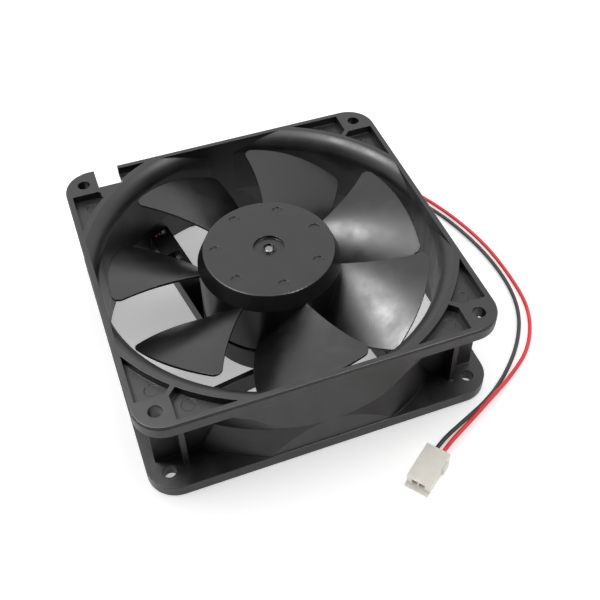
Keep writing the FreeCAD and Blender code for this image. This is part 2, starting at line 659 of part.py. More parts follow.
def stator_windings():
    """One rounded coil of enamelled wire on each pole, over the insulators."""
    inner, outer = coil_radii()
    half_hole = POLE_WIDTH / 2 + 0.3 + SMALL_GAP
    half_out = half_hole + COIL_THICK * 0.75
    low = CORE_BOTTOM - INSULATOR_THICK - SMALL_GAP
    high = CORE_TOP + INSULATOR_THICK + SMALL_GAP
    body = box(inner, outer, -half_out, half_out, low - COIL_REACH, high + COIL_REACH)
    body = body.makeFillet(COIL_REACH * 0.8, [edge for edge in body.Edges
                                              if abs(edge.tangentAt(edge.FirstParameter).x) > 0.9])
    body = body.cut(box(inner - 1, outer + 1, -half_hole, half_hole, low, high))
    body = body.common(ring(outer, inner, low - 5, high + 5))
    return Part.makeCompound(around(body, CORE_POLES))


def pin_place():
    return (CORE_HUB - 1.6, 0.0)


def winding_pins():
    """Three square pins that join the lower insulator to the circuit board."""
    x, y = pin_place()
    pin = box(x - 0.3, x + 0.3, y - 0.3, y + 0.3, BOARD_BOTTOM - 0.8,
              CORE_BOTTOM - INSULATOR_THICK)
    return Part.makeCompound([turned(pin, heading) for heading in (45, 135, 225)])


def pin_holes(shape, radius=0.5):
    x, y = pin_place()
    hole = cylinder(radius, 0, CORE_BOTTOM - INSULATOR_THICK, x, y)
    for heading in (45, 135, 225):
        shape = shape.cut(turned(hole, heading))
    return shape


# ---- circuit board ----

def lead_pads():
    """Where the two leads are soldered to the underside of the board."""
    _, channel_in, channel_out, _ = channel_edges()
    middle = (channel_in + channel_out) / 2
    step = (LEAD_DIAMETER + LEAD_SPACING) / 2
    return [(-2.0, middle - step), (-2.0, middle + step)]


def circuit_board():
    board = ring(BOARD_RADIUS, TUBE_OUTER + TUBE_BOSS_WALL - 1.0, BOARD_BOTTOM,
                 BOARD_BOTTOM + BOARD_THICK)
    board = pin_holes(board)
    key = box(BOARD_RADIUS - 1.5, BOARD_RADIUS + 1, -1.5, 1.5, 0, 20)
    return board.cut(turned(key, 20))


def on_board(length, width, height, radius, heading, legs=0, under=False):
    """Chip body on the board at a radius and heading, with legs that rest on the board."""
    lift = 0.15 if legs else 0.02
    top = BOARD_BOTTOM + BOARD_THICK
    bottom = BOARD_BOTTOM - lift - height if under else top + lift
    body = box(radius - length / 2, radius + length / 2, -width / 2, width / 2, bottom, bottom + height)
    pieces = [body.makeChamfer(0.12, body.Edges)]
    for index in range(legs):
        place = radius - length / 2 + length * (index + 0.5) / legs
        for side in (-1, 1):
            reach = sorted((side * width / 2, side * (width / 2 + 0.9)))
            level = (BOARD_BOTTOM - 0.2, BOARD_BOTTOM) if under else (top, top + 0.2)
            pieces.append(box(place - 0.2, place + 0.2, reach[0], reach[1], level[0], level[1]))
            stem = sorted((side * (width / 2 - 0.05), side * (width / 2 + 0.2)))
            rise = sorted((level[0], bottom + height / 2))
            pieces.append(box(place - 0.2, place + 0.2, stem[0], stem[1], rise[0], rise[1]))
    return turned(fused(pieces) if legs else pieces[0], heading)


def hall_sensor():
    return on_board(2.9, 1.6, 1.1, 18.4, 0, legs=2)


def driver_chip():
    return on_board(4.9, 3.9, 1.5, 13.8, 318, legs=4)


def chip_resistors():
    return Part.makeCompound([on_board(1.6, 0.8, 0.45, 15.0, heading) for heading in (52, 66, 80, 200, 214)])


def filter_capacitor():
    return on_board(3.2, 2.5, 2.0, 14.5, 180)


def polarity_diode():
    return on_board(4.3, 2.6, 2.1, 14.5, 150, under=True)


def solder_joints():
    joints = []
    for along, offset in lead_pads():
        bead = Part.makeCone(0.85, 0.6, 0.9, Vector(along, offset, BOARD_BOTTOM - 0.92), UP)
        joints.append(turned(bead, STRUT_HEADING))
    return Part.makeCompound(joints)


def motor_label():
    """Blank round label under the motor base."""
    return cylinder(BASE_RADIUS - 2.0, BASE_BOTTOM - 0.15, BASE_BOTTOM)


# ---- leads ----

def tube_along(points, diameter, arc_share=0.45):
    """Round tube of straight runs joined by tangent arcs, and the smallest arc radius."""
    spots = [Vector(*point) for point in points]
    radius_min = None
    edges = []
    cursor = spots[0]
    for before, corner, after in zip(spots, spots[1:], spots[2:]):
        back = before - corner
        ahead = after - corner
        shorter = min(back.Length, ahead.Length)
        turn = math.pi - back.getAngle(ahead)
        trim = arc_share * shorter
        radius = trim / math.tan(turn / 2)
        radius_min = radius if radius_min is None else min(radius_min, radius)
        back.normalize()
        ahead.normalize()
        start = corner + back * trim
        end = corner + ahead * trim
        inward = back + ahead
        inward.normalize()
        reach = math.sqrt(radius ** 2 + trim ** 2) - radius
        edges.append(Part.LineSegment(cursor, start).toShape())
        edges.append(Part.Arc(start, corner + inward * reach, end).toShape())
        cursor = end
    edges.append(Part.LineSegment(cursor, spots[-1]).toShape())
    path = Part.Wire(edges)
    direction = spots[1] - spots[0]
    section = Part.Wire(Part.Circle(spots[0], direction, diameter / 2).toShape())
    tube = path.makePipeShell([section], True, False)
    expected = math.pi * diameter ** 2 / 4 * path.Length
    print("lead: length %.1f, smallest radius %.1f, volume ratio %.4f"
          % (path.Length, radius_min or 0.0, tube.Volume / expected))
    return tube


def channel_point(along, offset, height):
    heading = math.radians(STRUT_HEADING)
    x = along * math.cos(heading) - offset * math.sin(heading)
    y = along * math.sin(heading) + offset * math.cos(heading)
    return (x, y, height)


def inner_lead(index):
    """Lead stretch inside the fan, from its solder joint along the channel to the duct's wall."""
    along, offset = lead_pads()[index]
    pad = BOARD_BOTTOM - 0.94 - LEAD_DIAMETER / 2
    port = LEAD_PORT_LEVEL
    points = [channel_point(along - 0.8, offset, pad), channel_point(along + 5.0, offset, pad),
              channel_point(10.5, offset, 4.2), channel_point(18.0, offset, 3.2),
              channel_point(31.0, offset, 3.0), channel_point(43.0, offset, 3.5),
              channel_point(50.5, offset, port), channel_point(LEAD_EXIT, offset, port)]
    return tube_along(points, LEAD_DIAMETER)


# Free stretches, from the duct's wall round the back and right of the frame to the connector.
LEAD_EXIT = 56.4
LEAD_STRAIGHT = 6.6
RED_ROUTE = [
    (-32.0, 65.8, 5.2), (-28.6, 72.2, 2.3), (-20.0, 76.0, 0.8), (-6.0, 77.6, 0.8),
    (16.0, 77.6, 0.8), (38.0, 75.6, 0.8), (58.0, 67.6, 0.8), (73.4, 50.6, 0.8),
    (83.8, 30.6, 0.8), (90.6, 7.0, 0.8), (91.6, -15.0, 0.8), (89.8, -32.0, 0.8),
    (81.0, -47.0, 0.8), (68.4, -56.2, 1.3), (56.4, -63.0, 2.8), (44.8, -69.2, 2.6)]
BLACK_ROUTE = [
    (-29.4, 65.0, 5.0), (-26.0, 70.4, 2.2), (-18.2, 73.3, 0.8), (-5.0, 74.3, 0.8),
    (16.0, 74.3, 0.8), (36.2, 72.4, 0.8), (55.0, 64.9, 0.8), (70.4, 48.4, 0.8),
    (81.6, 28.6, 0.8), (87.8, 6.0, 0.8), (89.2, -14.0, 0.8), (86.4, -30.0, 0.8),
    (78.6, -43.2, 0.8), (67.6, -54.2, 0.8), (56.6, -61.8, 0.8), (44.4, -67.0, 1.1)]


def connector_frame():
    """Unit vectors along the connector, from the lead end to its mouth, and across it."""
    heading = math.radians(CONNECTOR_HEADING)
    return (math.cos(heading), math.sin(heading)), (-math.sin(heading), math.cos(heading))


def connector_point(along, across, height):
    ahead, side = connector_frame()
    x = CONNECTOR_PLACE[0] + along * ahead[0] + across * side[0]
    y = CONNECTOR_PLACE[1] + along * ahead[1] + across * side[1]
    return (x, y, height)


def connector_box(a0, a1, c0, c1, z0, z1):
    """Box in the connector's own directions: along, across and up."""
    shape = box(a0, a1, c0, c1, z0, z1)
    shape.rotate(CENTRE, UP, CONNECTOR_HEADING)
    shape.translate(Vector(CONNECTOR_PLACE[0], CONNECTOR_PLACE[1], 0))
    return shape


def outer_lead(index):
    """Free lead from the duct's wall to its terminal in the connector."""
    offset = lead_pads()[index][1]
    port = LEAD_PORT_LEVEL
    route = RED_ROUTE if index == 1 else BLACK_ROUTE
    across = CONNECTOR_PITCH / 2 * (1 if index == 1 else -1)
    level = CONNECTOR_HEIGHT / 2
    points = [channel_point(LEAD_EXIT, offset, port)]
    points += [channel_point(LEAD_EXIT + LEAD_STRAIGHT, offset, port)] + route
    points += [connector_point(-4.0, across, level), connector_point(LEAD_ENTRY_DEPTH, across, level)]
    return tube_along(points, LEAD_DIAMETER)


def connector_housing():
    """Two-way housing with a latch on one side and a shelf that sticks out below its mouth."""
    half = CONNECTOR_WIDTH / 2
    level = CONNECTOR_HEIGHT / 2
    body = connector_box(0, CONNECTOR_LENGTH, -half, half, 0, CONNECTOR_HEIGHT)
    shelf = connector_box(CONNECTOR_LENGTH - 1, CONNECTOR_LENGTH + CONNECTOR_SHELF, -half, half,
                          0, CONNECTOR_WALL)
    latch = connector_box(LATCH_PLACE[0], LATCH_PLACE[1], half - 0.2, half + LATCH_REACH,
                          CONNECTOR_WALL, CONNECTOR_HEIGHT - CONNECTOR_WALL)
    body = fused([body, shelf, latch])
    for side in (-1, 1):
        middle = side * CONNECTOR_PITCH / 2
        body = body.cut(connector_box(-1, CONNECTOR_LENGTH + 1, middle - TERMINAL_SPACE,
                                      middle + TERMINAL_SPACE, level - TERMINAL_SPACE,
                                      level + TERMINAL_SPACE))
    return body


def crimp_terminals():
    """A crimp barrel and a box socket for each lead."""
    level = CONNECTOR_HEIGHT / 2
    half = TERMINAL_SPACE - 0.12
    pieces = []
    for side in (-1, 1):
        middle = side * CONNECTOR_PITCH / 2
        barrel = connector_box(LEAD_ENTRY_DEPTH, LEAD_ENTRY_DEPTH + 2.4, middle - 0.7, middle + 0.7,
                               level - 0.8, level + 0.8)
        socket = connector_box(LEAD_ENTRY_DEPTH + 2.2, CONNECTOR_LENGTH - 1.0, middle - half,
                               middle + half, level - half, level + half)
        bore = connector_box(LEAD_ENTRY_DEPTH + 3.0, CONNECTOR_LENGTH, middle - 0.6, middle + 0.6,
                             level - 0.6, level + 0.6)
        pieces.append(barrel.fuse(socket).cut(bore))
    return Part.makeCompound(pieces)


def nodes():
    lower_insulator = insulator(CORE_BOTTOM - INSULATOR_THICK, CORE_BOTTOM,
                                CORE_BOTTOM - INSULATOR_THICK - 1.8, CORE_BOTTOM)
    upper_insulator = insulator(CORE_TOP, CORE_TOP + INSULATOR_THICK,
                                CORE_TOP, CORE_TOP + INSULATOR_THICK + 1.8)
    return {
        "frame_housing": frame_housing(),
        "motor_label": motor_label(),
        "bearing_tube": bearing_tube(),
        "stator_core": stator_core(),
        "upper_insulator": upper_insulator,
        "lower_insulator": lower_insulator,
        "stator_windings": stator_windings(),
        "winding_pins": winding_pins(),
        "circuit_board": circuit_board(),
        "hall_sensor": hall_sensor(),
        "driver_chip": driver_chip(),
        "chip_resistors": chip_resistors(),
        "filter_capacitor": filter_capacitor(),
        "polarity_diode": polarity_diode(),
        "lead_solder_joints": solder_joints(),
        "upper_bearing_outer_ring": bearing_outer_ring(UPPER_BEARING_BOTTOM),
        "lower_bearing_outer_ring": bearing_outer_ring(LOWER_BEARING_BOTTOM),
        "upper_bearing_shields": bearing_shields(UPPER_BEARING_BOTTOM),
        "lower_bearing_shields": bearing_shields(LOWER_BEARING_BOTTOM),
        "channel_lead_black": inner_lead(0),
        "channel_lead_red": inner_lead(1),
        "lead_black": outer_lead(0),
        "lead_red": outer_lead(1),
        "connector_housing": connector_housing(),
        "crimp_terminals": crimp_terminals(),
        "impeller": impeller(),
        "rotor_yoke": rotor_yoke(),
        "ring_magnet": ring_magnet(),
        "shaft": shaft(),
        "shaft_bushing": shaft_bushing(),
        "upper_bearing_inner_ring": bearing_inner_ring(UPPER_BEARING_BOTTOM),
        "lower_bearing_inner_ring": bearing_inner_ring(LOWER_BEARING_BOTTOM),
        "preload_spring": preload_spring(),
        "retaining_ring": retaining_ring(),
        "thrust_washer": thrust_washer(),
        "upper_ball_set": bearing_balls(UPPER_BEARING_BOTTOM),
        "upper_ball_cage": ball_cage(UPPER_BEARING_BOTTOM),
        "lower_ball_set": bearing_balls(LOWER_BEARING_BOTTOM),
        "lower_ball_cage": ball_cage(LOWER_BEARING_BOTTOM),
    }


os.makedirs("parts", exist_ok=True)
for name, shape in nodes().items():
    shape.exportStep("parts/" + name + ".step")
    size = shape.BoundBox
    print("%-26s solids %2d valid %s volume %10.2f  z %6.2f..%6.2f  r %6.2f"
          % (name, len(shape.Solids), shape.isValid(), shape.Volume, size.ZMin, size.ZMax,
             max(abs(size.XMin), abs(size.XMax))))
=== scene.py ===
"""Square axial fan with an open flanged frame, seven blades and two leads to a two-way connector."""

import json
import math

import bmesh
import bpy
from mathutils import Matrix, Vector


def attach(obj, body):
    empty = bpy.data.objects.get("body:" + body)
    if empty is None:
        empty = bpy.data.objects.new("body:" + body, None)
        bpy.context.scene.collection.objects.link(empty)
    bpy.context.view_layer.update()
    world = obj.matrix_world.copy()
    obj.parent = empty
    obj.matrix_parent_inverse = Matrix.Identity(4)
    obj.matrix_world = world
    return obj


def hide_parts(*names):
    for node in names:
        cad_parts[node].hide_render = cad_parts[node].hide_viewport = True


MM = 0.001

# ---- leads, in metres: from the duct's wall round the back and right of the frame ----
LEAD_DIAMETER = 0.00145
RED_ROUTE = [
    (-0.03041, 0.05221, 0.00567), (-0.03147, 0.05872, 0.00567),
    (-0.0320, 0.0658, 0.0052), (-0.0286, 0.0722, 0.0023), (-0.0200, 0.0760, 0.0008),
    (-0.0060, 0.0776, 0.0008), (0.0160, 0.0776, 0.0008), (0.0380, 0.0756, 0.0008),
    (0.0580, 0.0676, 0.0008), (0.0734, 0.0506, 0.0008), (0.0838, 0.0306, 0.0008),
    (0.0906, 0.0070, 0.0008), (0.0916, -0.0150, 0.0008), (0.0898, -0.0320, 0.0008),
    (0.0810, -0.0470, 0.0008), (0.0684, -0.0562, 0.0013), (0.0564, -0.0630, 0.0028),
    (0.0448, -0.0692, 0.0026), (0.03455, -0.07430, 0.0025), (0.02927, -0.07826, 0.0025)]
BLACK_ROUTE = [
    (-0.02888, 0.05246, 0.00567), (-0.02994, 0.05897, 0.00567),
    (-0.0294, 0.0650, 0.0050), (-0.0260, 0.0704, 0.0022), (-0.0182, 0.0733, 0.0008),
    (-0.0050, 0.0743, 0.0008), (0.0160, 0.0743, 0.0008), (0.0362, 0.0724, 0.0008),
    (0.0550, 0.0649, 0.0008), (0.0704, 0.0484, 0.0008), (0.0816, 0.0286, 0.0008),
    (0.0878, 0.0060, 0.0008), (0.0892, -0.0140, 0.0008), (0.0864, -0.0300, 0.0008),
    (0.0786, -0.0432, 0.0008), (0.0676, -0.0542, 0.0008), (0.0566, -0.0618, 0.0008),
    (0.0444, -0.0670, 0.0011), (0.03305, -0.07230, 0.0025), (0.02777, -0.07626, 0.0025)]

# ---- connector, in millimetres, and its heading in degrees ----
CONNECTOR_LENGTH = 13.8
CONNECTOR_WIDTH = 8.5
CONNECTOR_HEIGHT = 5.0
CONNECTOR_PITCH = 2.5
CONNECTOR_CAVITY = 2.0
CONNECTOR_SHELF = 1.5
CONNECTOR_WALL = 0.9
LATCH_PLACE = (2.2, 6.0)
LATCH_REACH = 0.8
CONNECTOR_PLACE = (30.6, -75.7)
CONNECTOR_HEADING = 216.8
CONNECTOR_ROUND = 0.3        # along the long outer edges
SMALL_ROUND = 0.2            # on the shelf and the latch
SHELF_ROOT = 0.8             # shelf inside the block
LATCH_ROOT = 0.2             # latch inside the block
SET_IN = 0.02                # keeps the shelf and latch off the block's own faces
NEAR = 1e-4                  # two places this near are one place
END_FACE_NEAR = 0.05         # an end face this near a cavity's middle belongs to it
SHARP_TURN = 1.0             # radians between two faces at an outer edge

# ---- camera, in degrees and millimetres: turned left of the front, looking down at the rotor ----
CAMERA_AZIMUTH = -21.096
CAMERA_ELEVATION = 48.476
CAMERA_DISTANCE = 333.947
CAMERA_AIM = (19.2, -1.85, 4.6)
CAMERA_LENS = 54.14
CAMERA_SHIFT = (-0.0392, -0.0024)
CAMERA_CLIP = (0.01, 10.0)   # metres

# ---- floor and light, in metres and watts ----
FLOOR_SIZE = 3.0
FLOOR_DROP = 0.00005         # keeps the floor just below the feet
FLOOR_GLOW = 0.4
SKY_BACK = 1.5
SKY_FRONT = 0.2
SKY_TURN = (-0.45, 0.0)      # where the sky goes from its front strength to its back one
LAMP_SIZE = 0.14
LAMP_POWER = 2.4
FRONT_LAMP = ((0.155, -0.165, 0.49), (0.045, 0.0, 0.028))     # its place and its aim
LEFT_LAMP = ((-0.20, 0.09, 0.46), (0.032, -0.035, 0.028))

# ---- patterns: bands and cells by the scale of their node, the label's ring in metres ----
SHEET_BANDS = 620.0
WIRE_BANDS = 900.0
BOARD_CELLS = 260.0
LABEL_RING_RADIUS = 0.0205
LABEL_RING_HALF = 0.0004     # half the ring's width

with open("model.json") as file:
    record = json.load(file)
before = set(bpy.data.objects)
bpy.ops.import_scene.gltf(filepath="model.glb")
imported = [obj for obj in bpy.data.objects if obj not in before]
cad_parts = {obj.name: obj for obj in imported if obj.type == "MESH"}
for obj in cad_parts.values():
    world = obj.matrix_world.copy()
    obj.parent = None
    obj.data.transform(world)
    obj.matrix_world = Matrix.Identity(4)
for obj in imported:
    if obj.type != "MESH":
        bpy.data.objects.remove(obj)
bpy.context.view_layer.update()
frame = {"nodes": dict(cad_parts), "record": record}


# ---- small helpers for the materials ----

def blank_material(name):
    """A new material, its node tree and its shader."""
    material = bpy.data.materials.new(name)
    material.use_nodes = True
    tree = material.node_tree
    return material, tree, tree.nodes["Principled BSDF"]


def object_place(tree, stretch=(1.0, 1.0, 1.0), turn=(0.0, 0.0, 0.0)):
    """Object coordinates, stretched and turned."""
    place = tree.nodes.new("ShaderNodeTexCoord")
    mapping = tree.nodes.new("ShaderNodeMapping")
    mapping.inputs["Scale"].default_value = stretch
    mapping.inputs["Rotation"].default_value = turn
    tree.links.new(place.outputs["Object"], mapping.inputs["Vector"])
    return mapping.outputs["Vector"]


def mottle(tree, place, size_mm, detail=2.0, rough=0.5):
    """Noise from 0 to 1 whose patches are about size_mm across."""
    noise = tree.nodes.new("ShaderNodeTexNoise")
    noise.inputs["Scale"].default_value = 1.0 / (size_mm * MM)
    noise.inputs["Detail"].default_value = detail
    noise.inputs["Roughness"].default_value = rough
    tree.links.new(place, noise.inputs["Vector"])
    return noise.outputs["Fac"]


def spread(tree, value, low, high, start=0.3, end=0.7):
    """The value between start and end spread to low and high."""
    ramp = tree.nodes.new("ShaderNodeMapRange")
    ramp.inputs["From Min"].default_value = start
    ramp.inputs["From Max"].default_value = end
    ramp.inputs["To Min"].default_value = low
    ramp.inputs["To Max"].default_value = high
    tree.links.new(value, ramp.inputs["Value"])
    return ramp.outputs["Result"]


def shade(tree, value, dark, light, start=0.3, end=0.7):
    """A colour between dark and light by the value."""
    ramp = tree.nodes.new("ShaderNodeValToRGB")
    ramp.color_ramp.elements[0].position = start
    ramp.color_ramp.elements[0].color = (*dark, 1.0)
    ramp.color_ramp.elements[1].position = end
    ramp.color_ramp.elements[1].color = (*light, 1.0)
    tree.links.new(value, ramp.inputs["Fac"])
    return ramp.outputs["Color"]


def mixed(tree, amount, first, second):
    """A colour that is the first at 0 and the second, a plain one, at 1."""
    mix = tree.nodes.new("ShaderNodeMix")
    mix.data_type = "RGBA"
    tree.links.new(amount, mix.inputs["Factor"])
    tree.links.new(first, mix.inputs["A"])
    mix.inputs["B"].default_value = (*second, 1.0)
    return mix.outputs["Result"]


def relief(tree, height, depth_mm, under=None):
    """Bump from a height of 0 to 1, over other normals if they are given."""
    bump = tree.nodes.new("ShaderNodeBump")
    bump.inputs["Distance"].default_value = depth_mm * MM
    bump.inputs["Strength"].default_value = 1.0
    tree.links.new(height, bump.inputs["Height"])
    if under is not None:
        tree.links.new(under, bump.inputs["Normal"])
    return bump.outputs["Normal"]


def bands(tree, scale, wander):
    """Level bands, one above the other, from 0 to 1."""
    wave = tree.nodes.new("ShaderNodeTexWave")
    wave.bands_direction = "Z"
    wave.inputs["Scale"].default_value = scale
    wave.inputs["Distortion"].default_value = wander
    tree.links.new(object_place(tree), wave.inputs["Vector"])
    return wave.outputs["Fac"]


def eased_edges(tree, radius_mm):
    """Normals that round the edges off, and how near an edge each spot is."""
    bevel = tree.nodes.new("ShaderNodeBevel")
    bevel.samples = 6
    bevel.inputs["Radius"].default_value = radius_mm * MM
    geometry = tree.nodes.new("ShaderNodeNewGeometry")
    facing = tree.nodes.new("ShaderNodeVectorMath")
    facing.operation = "DOT_PRODUCT"
    tree.links.new(bevel.outputs["Normal"], facing.inputs[0])
    tree.links.new(geometry.outputs["Normal"], facing.inputs[1])
    near = spread(tree, facing.outputs["Value"], 1.0, 0.0, 0.80, 0.99)
    return bevel.outputs["Normal"], near


# ---- finishes ----

def black_moulding(name, dark, light, rough, grain_mm=0.35, grain_depth=0.012, edge_mm=0.3):
    """Matt black plastic as it leaves a spark-textured mould, with a painted highlight along its eased edges.
    """
    material, tree, shader = blank_material(name)
    place = object_place(tree)
    rounded, edge = eased_edges(tree, edge_mm)
    cloud = mottle(tree, place, 22.0, 3.0)
    grain = mottle(tree, place, grain_mm, 3.0, 0.6)
    body = shade(tree, cloud, dark, light)
    # Painted highlight: the colour goes paler near the eased edges, towards one and a half times the light
    # tone, as if light caught their rounding.
    edge_highlight = tuple(1.5 * level + 0.002 for level in light)
    highlighted_body = mixed(tree, spread(tree, edge, 0.0, 0.55, 0.0, 1.0), body, edge_highlight)
    tree.links.new(highlighted_body, shader.inputs["Base Color"])
    streak = mottle(tree, object_place(tree, (1.0, 1.0, 0.25)), 6.0, 4.0, 0.6)
    tree.links.new(spread(tree, streak, rough - 0.05, rough + 0.06), shader.inputs["Roughness"])
    tree.links.new(relief(tree, grain, grain_depth, rounded), shader.inputs["Normal"])
    return material


def wire_sheath(name, dark, light, rough=0.36):
    """Smooth extruded vinyl with a faint waviness."""
    material, tree, shader = blank_material(name)
    place = object_place(tree)
    cloud = mottle(tree, place, 9.0, 2.0)
    tree.links.new(shade(tree, cloud, dark, light), shader.inputs["Base Color"])
    ripple = mottle(tree, place, 1.1, 2.0)
    tree.links.new(spread(tree, ripple, rough - 0.04, rough + 0.05), shader.inputs["Roughness"])
    tree.links.new(relief(tree, ripple, 0.02), shader.inputs["Normal"])
    return material


def ivory_nylon(name):
    """Slightly see-through ivory nylon with soft moulding marks and a painted highlight along its eased
    edges.
    """
    material, tree, shader = blank_material(name)
    place = object_place(tree)
    rounded, edge = eased_edges(tree, 0.2)
    cloud = mottle(tree, place, 5.0, 3.0)
    body = shade(tree, cloud, (0.80, 0.76, 0.68), (0.86, 0.83, 0.76))
    # Painted highlight: the colour goes paler near the eased edges.
    tree.links.new(mixed(tree, edge, body, (0.90, 0.87, 0.81)), shader.inputs["Base Color"])
    tree.links.new(spread(tree, cloud, 0.34, 0.44), shader.inputs["Roughness"])
    fine = mottle(tree, place, 0.5, 2.0)
    tree.links.new(relief(tree, fine, 0.008, rounded), shader.inputs["Normal"])
    shader.inputs["Subsurface Weight"].default_value = 0.25
    shader.inputs["Subsurface Radius"].default_value = (1.0, 0.8, 0.6)
    shader.inputs["Subsurface Scale"].default_value = 0.0015
    return material


def plain_moulding(name, dark, light, rough, patch_mm=6.0):
    """Moulded or cast part with a faint cloudiness and a fine skin."""
    material, tree, shader = blank_material(name)
    place = object_place(tree)
    cloud = mottle(tree, place, patch_mm, 3.0)
    tree.links.new(shade(tree, cloud, dark, light), shader.inputs["Base Color"])
    fine = mottle(tree, place, 0.3, 2.0)
    tree.links.new(spread(tree, fine, rough - 0.05, rough + 0.05), shader.inputs["Roughness"])
    tree.links.new(relief(tree, fine, 0.006), shader.inputs["Normal"])
    return material


def worked_metal(name, dark, light, rough, stretch=(1.0, 1.0, 12.0), line_mm=1.5):
    """Bare metal with fine tool lines, which run across the stretched direction."""
    material, tree, shader = blank_material(name)
    shader.inputs["Metallic"].default_value = 1.0
    lines = mottle(tree, object_place(tree, stretch), line_mm, 3.0, 0.6)
    stain = mottle(tree, object_place(tree), 7.0, 3.0)
    tree.links.new(shade(tree, stain, dark, light), shader.inputs["Base Color"])
    tree.links.new(spread(tree, lines, rough - 0.06, rough + 0.08), shader.inputs["Roughness"])
    tree.links.new(relief(tree, lines, 0.004), shader.inputs["Normal"])
    return material


def stacked_sheets(name):
    """Edges of thin steel sheets, one on the other."""
    material, tree, shader = blank_material(name)
    shader.inputs["Metallic"].default_value = 1.0
    sheets = bands(tree, SHEET_BANDS, 0.4)
    tree.links.new(shade(tree, sheets, (0.20, 0.20, 0.21), (0.50, 0.50, 0.52)), shader.inputs["Base Color"])
    shader.inputs["Roughness"].default_value = 0.42
    tree.links.new(relief(tree, sheets, 0.03), shader.inputs["Normal"])
    return material


def wound_wire(name):
    """Turns of enamelled copper wire side by side."""
    material, tree, shader = blank_material(name)
    shader.inputs["Metallic"].default_value = 1.0
    shader.inputs["Roughness"].default_value = 0.30
    shader.inputs["Coat Weight"].default_value = 0.5
    turns = bands(tree, WIRE_BANDS, 1.5)
    tree.links.new(shade(tree, turns, (0.36, 0.13, 0.05), (0.86, 0.42, 0.20)), shader.inputs["Base Color"])
    tree.links.new(relief(tree, turns, 0.08), shader.inputs["Normal"])
    return material


def board_mask(name):
    """Green solder mask with paler copper tracks under it."""
    material, tree, shader = blank_material(name)
    place = object_place(tree)
    cells = tree.nodes.new("ShaderNodeTexVoronoi")
    cells.feature = "DISTANCE_TO_EDGE"
    cells.inputs["Scale"].default_value = BOARD_CELLS
    tree.links.new(place, cells.inputs["Vector"])
    mask = shade(tree, cells.outputs["Distance"], (0.05, 0.30, 0.12), (0.015, 0.12, 0.05), 0.05, 0.12)
    tree.links.new(mask, shader.inputs["Base Color"])
    shader.inputs["Roughness"].default_value = 0.35
    tree.links.new(relief(tree, mottle(tree, place, 1.0), 0.01), shader.inputs["Normal"])
    return material


def blank_film(name):
    """Pale label film with a printed border ring and a soft crinkle."""
    material, tree, shader = blank_material(name)
    place = object_place(tree)
    flat = tree.nodes.new("ShaderNodeVectorMath")
    flat.operation = "MULTIPLY"
    flat.inputs[1].default_value = (1.0, 1.0, 0.0)
    tree.links.new(place, flat.inputs[0])
    reach = tree.nodes.new("ShaderNodeVectorMath")
    reach.operation = "LENGTH"
    tree.links.new(flat.outputs["Vector"], reach.inputs[0])
    band = tree.nodes.new("ShaderNodeMath")
    band.operation = "COMPARE"
    band.inputs[1].default_value = LABEL_RING_RADIUS
    band.inputs[2].default_value = LABEL_RING_HALF
    tree.links.new(reach.outputs["Value"], band.inputs[0])
    cloud = mottle(tree, place, 9.0, 3.0)
    body = shade(tree, cloud, (0.66, 0.67, 0.67), (0.76, 0.76, 0.75))
    tree.links.new(mixed(tree, band.outputs["Value"], body, (0.05, 0.05, 0.055)),
                   shader.inputs["Base Color"])
    tree.links.new(spread(tree, cloud, 0.28, 0.40), shader.inputs["Roughness"])
    tree.links.new(relief(tree, cloud, 0.02), shader.inputs["Normal"])
    return material


def finishes():
    """Every material, by the name of its slot."""
    return {
        "frame_plastic": black_moulding("frame_plastic", (0.0030, 0.0031, 0.0032),
                                        (0.0052, 0.0053, 0.0055), 0.40),
        "impeller_plastic": black_moulding("impeller_plastic", (0.0030, 0.0031, 0.0033),
                                           (0.0052, 0.0054, 0.0057), 0.34, 0.4, 0.008, 0.35),
        "label_film": blank_film("label_film"),
        "brass": worked_metal("brass", (0.60, 0.42, 0.17), (0.78, 0.60, 0.30), 0.30),
        "core_steel": stacked_sheets("core_steel"),
        "insulator_nylon": plain_moulding("insulator_nylon", (0.72, 0.69, 0.60), (0.84, 0.82, 0.75), 0.45),
        "copper_wire": wound_wire("copper_wire"),
        "pin_metal": worked_metal("pin_metal", (0.60, 0.59, 0.56), (0.75, 0.74, 0.70), 0.28),
        "board_laminate": board_mask("board_laminate"),
        "chip_epoxy": plain_moulding("chip_epoxy", (0.018, 0.018, 0.019), (0.034, 0.034, 0.035), 0.55, 2.0),
        "capacitor_ceramic": plain_moulding("capacitor_ceramic", (0.50, 0.37, 0.23), (0.62, 0.48, 0.32),
                                            0.40, 1.5),
        "solder": worked_metal("solder", (0.55, 0.55, 0.56), (0.75, 0.75, 0.75), 0.22, (1.0, 1.0, 1.0), 0.8),
        # Bearing steel gets a tone darker than plain steel. This is painted shade, so the shaft end sunk in
        # the hub reads dark.
        "bearing_steel": worked_metal("bearing_steel", (0.16, 0.165, 0.17), (0.25, 0.255, 0.26), 0.30),
        "shield_steel": worked_metal("shield_steel", (0.50, 0.50, 0.51), (0.64, 0.64, 0.65), 0.30,
                                     (1.0, 8.0, 1.0)),
        "yoke_steel": worked_metal("yoke_steel", (0.40, 0.40, 0.42), (0.56, 0.56, 0.58), 0.34),
        "magnet_ferrite": plain_moulding("magnet_ferrite", (0.055, 0.052, 0.050), (0.100, 0.095, 0.090),
                                         0.60, 3.0),
        "spring_steel": worked_metal("spring_steel", (0.44, 0.44, 0.45), (0.58, 0.58, 0.59), 0.26),
        "washer_plastic": plain_moulding("washer_plastic", (0.82, 0.81, 0.77), (0.91, 0.90, 0.86), 0.40, 2.0),
        "red_insulation": wire_sheath("red_insulation", (0.78, 0.012, 0.030), (0.92, 0.030, 0.055)),
        "black_insulation": wire_sheath("black_insulation", (0.016, 0.018, 0.020), (0.030, 0.034, 0.038)),
        "connector_nylon": ivory_nylon("connector_nylon"),
        "terminal_tin": worked_metal("terminal_tin", (0.62, 0.61, 0.58), (0.77, 0.76, 0.73), 0.26),
    }


def dress(piece, material):
    """Gives the piece this material alone."""
    piece.data.materials.clear()
    piece.data.materials.append(material)


